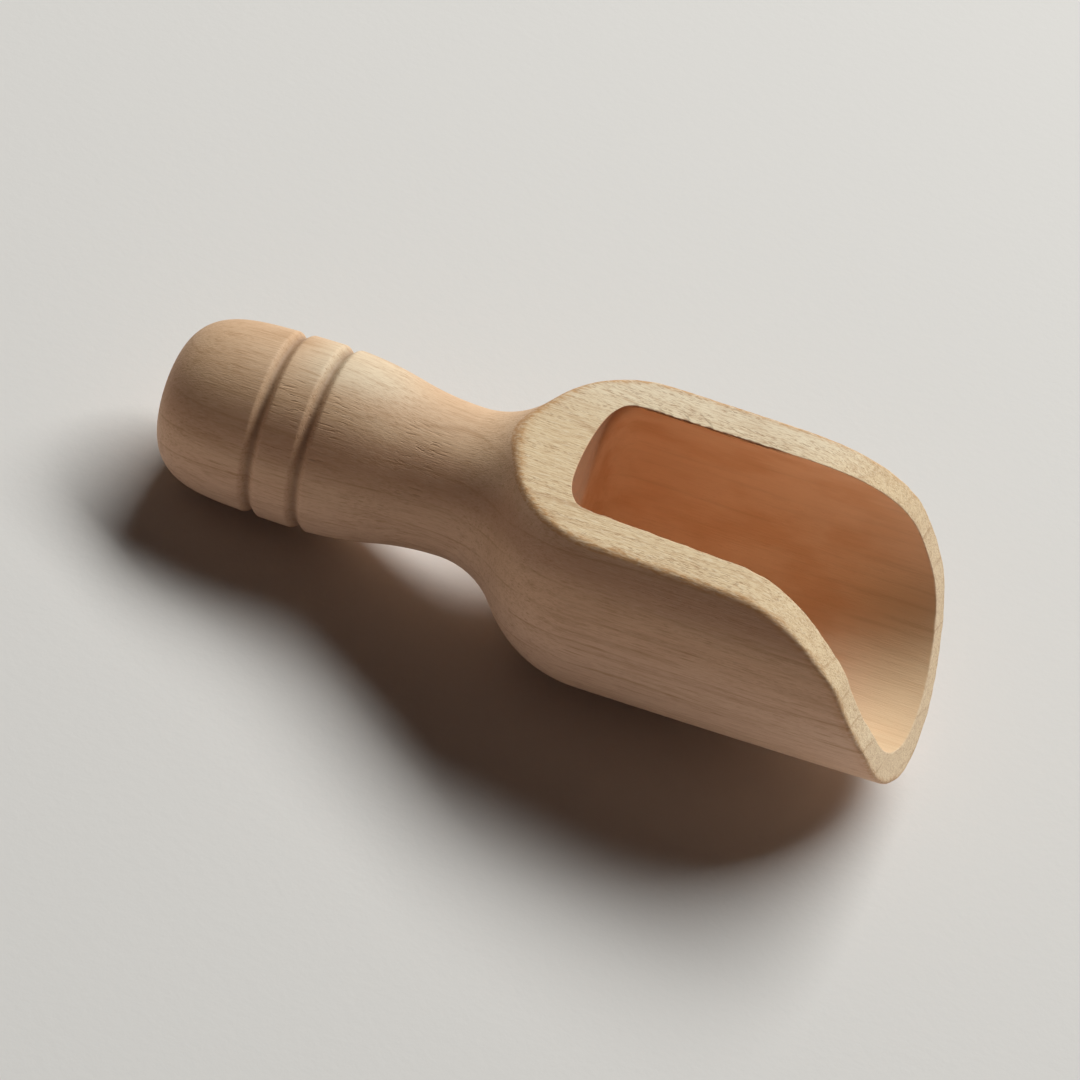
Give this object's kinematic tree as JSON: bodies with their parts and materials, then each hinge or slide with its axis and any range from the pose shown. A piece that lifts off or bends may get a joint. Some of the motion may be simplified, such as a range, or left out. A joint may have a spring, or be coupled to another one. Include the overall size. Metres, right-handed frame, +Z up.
{
  "type": "wooden scoop",
  "caption": "Small turned wooden scoop: a domed, grooved handle with a slim neck that flares into a bored bowl, cut open along the top with a slanted front lip.",
  "frame": {"origin": "centre of the bounding box on the table, with the scoop at rest on the handle's end and the back of the bowl", "axes": "+X from the handle's end to the lip, +Y across the bowl, +Z up from the table"},
  "size_m": [0.0786, 0.03, 0.0253],
  "materials": {
    "handle_wood": "raw sanded pale hardwood, unvarnished",
    "bowl_wood": "raw sanded pale hardwood, unvarnished"
  },
  "bodies": {
    "root": {"handle": "handle_wood", "bowl": "bowl_wood"}
  },
  "joints": []
}
